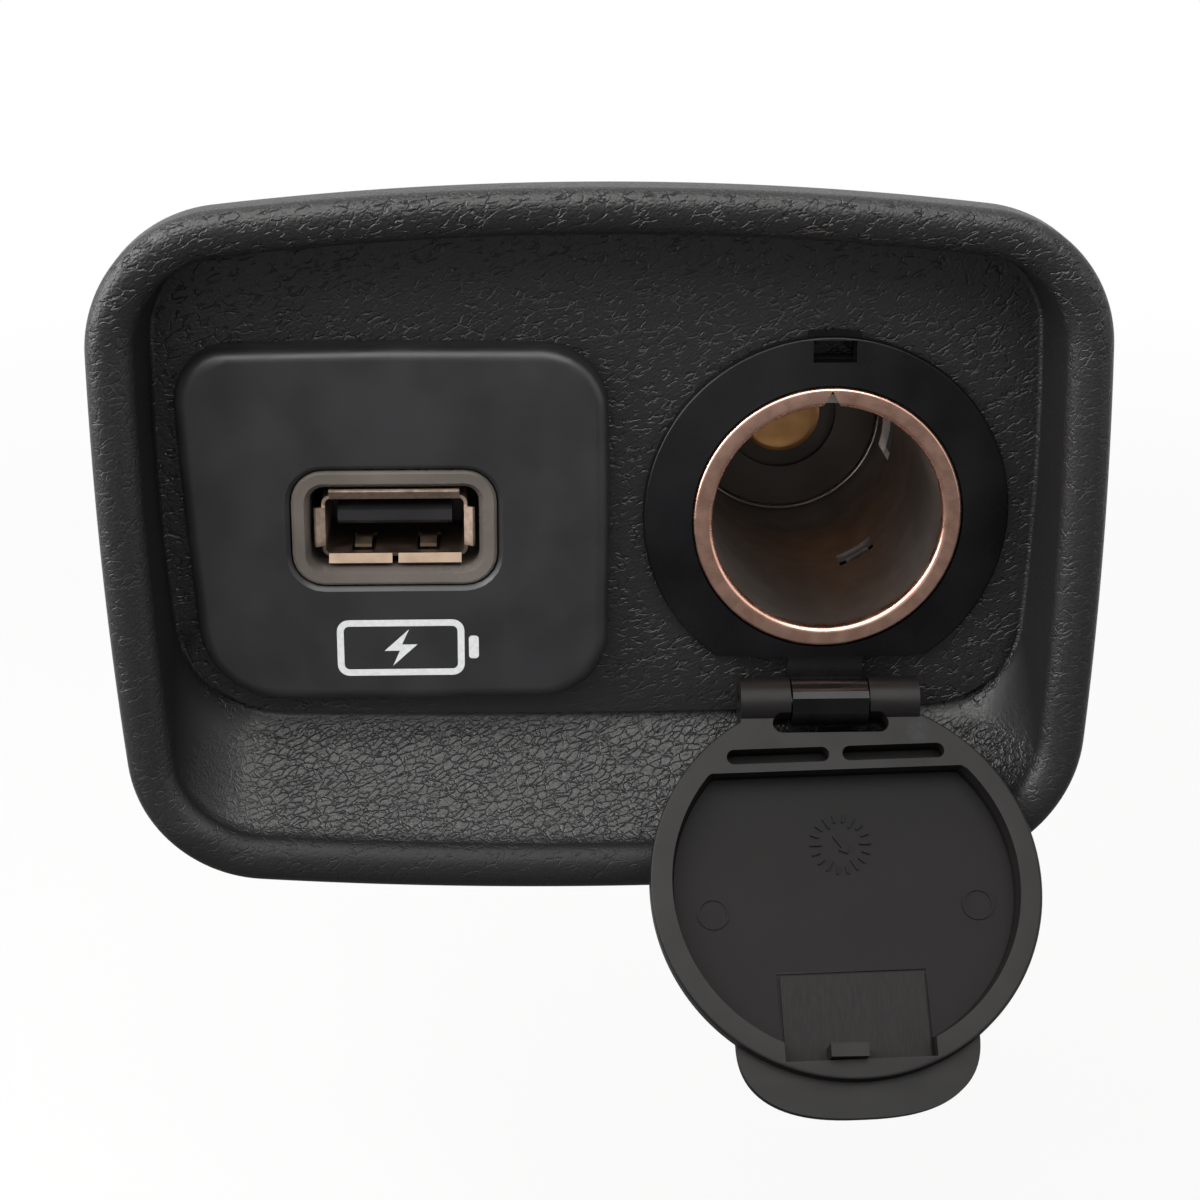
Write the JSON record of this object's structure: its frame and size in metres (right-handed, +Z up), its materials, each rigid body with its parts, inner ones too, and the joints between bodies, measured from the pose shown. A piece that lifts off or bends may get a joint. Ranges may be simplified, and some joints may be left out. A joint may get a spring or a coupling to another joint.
{
  "type": "console panel with a 12 volt plug socket and a charging port",
  "caption": "Grained trim bezel with a recessed tray that holds a charging port and a round plug socket; a hinged cap covers the socket.",
  "frame": {"origin": "centre of the plug socket at its mouth, level with the face of the metal lip", "axes": "+X to the right seen from the cabin, +Y into the console, +Z up; the front faces -Y"},
  "size_m": [0.0887, 0.0846, 0.0787],
  "materials": {
    "bezel_grain": "black leather-grained plastic",
    "sleeve_black": "black semi-gloss plastic",
    "cap_black": "dark warm grey moulded plastic, semi-matt",
    "port_soft": "dark neutral grey soft-touch paint",
    "light_guide": "smoked translucent plastic",
    "nickel": "nickel plate, slightly warm",
    "contact_brass": "worn brass",
    "terminal_tin": "tinned sheet brass",
    "spring_steel": "plain spring steel",
    "pin_steel": "ground steel",
    "insulator": "dark phenolic",
    "housing_black": "black nylon",
    "tongue_black": "black moulded plastic",
    "gold_contact": "gold-flashed contacts",
    "board_green": "green solder mask",
    "led_white": "white LED body with a clear lens",
    "ferrite": "grey ferrite",
    "can_aluminium": "aluminium can",
    "header_white": "natural nylon"
  },
  "bodies": {
    "panel": {"bezel": "bezel_grain", "panel_clip_1": "spring_steel", "panel_clip_2": "spring_steel", "panel_clip_3": "spring_steel", "panel_clip_4": "spring_steel", "socket_sleeve": "sleeve_black", "socket_barrel": "nickel", "barrel_insulator": "insulator", "centre_contact": "contact_brass", "positive_terminal": "terminal_tin", "negative_terminal": "terminal_tin", "terminal_housing": "housing_black", "port_faceplate": "port_soft", "port_light_ring": "light_guide", "port_shell": "nickel", "port_tongue": "tongue_black", "port_contact_1": "gold_contact", "port_contact_2": "gold_contact", "port_contact_3": "gold_contact", "port_contact_4": "gold_contact", "circuit_board": "board_green", "port_leds": "led_white", "converter_coil": "ferrite", "filter_capacitor": "can_aluminium", "port_housing": "housing_black", "harness_header": "header_white", "header_pins": "gold_contact"},
    "lid": {"cap": "cap_black", "hinge_pin": "pin_steel"}
  },
  "joints": [
    {"name": "lid_hinge", "type": "hinge", "parent": "panel", "child": "lid", "pos_m": [0.0004, -0.0015, -0.0172], "axis": [-1, 0, 0], "range_deg": [0, 139.7]}
  ]
}
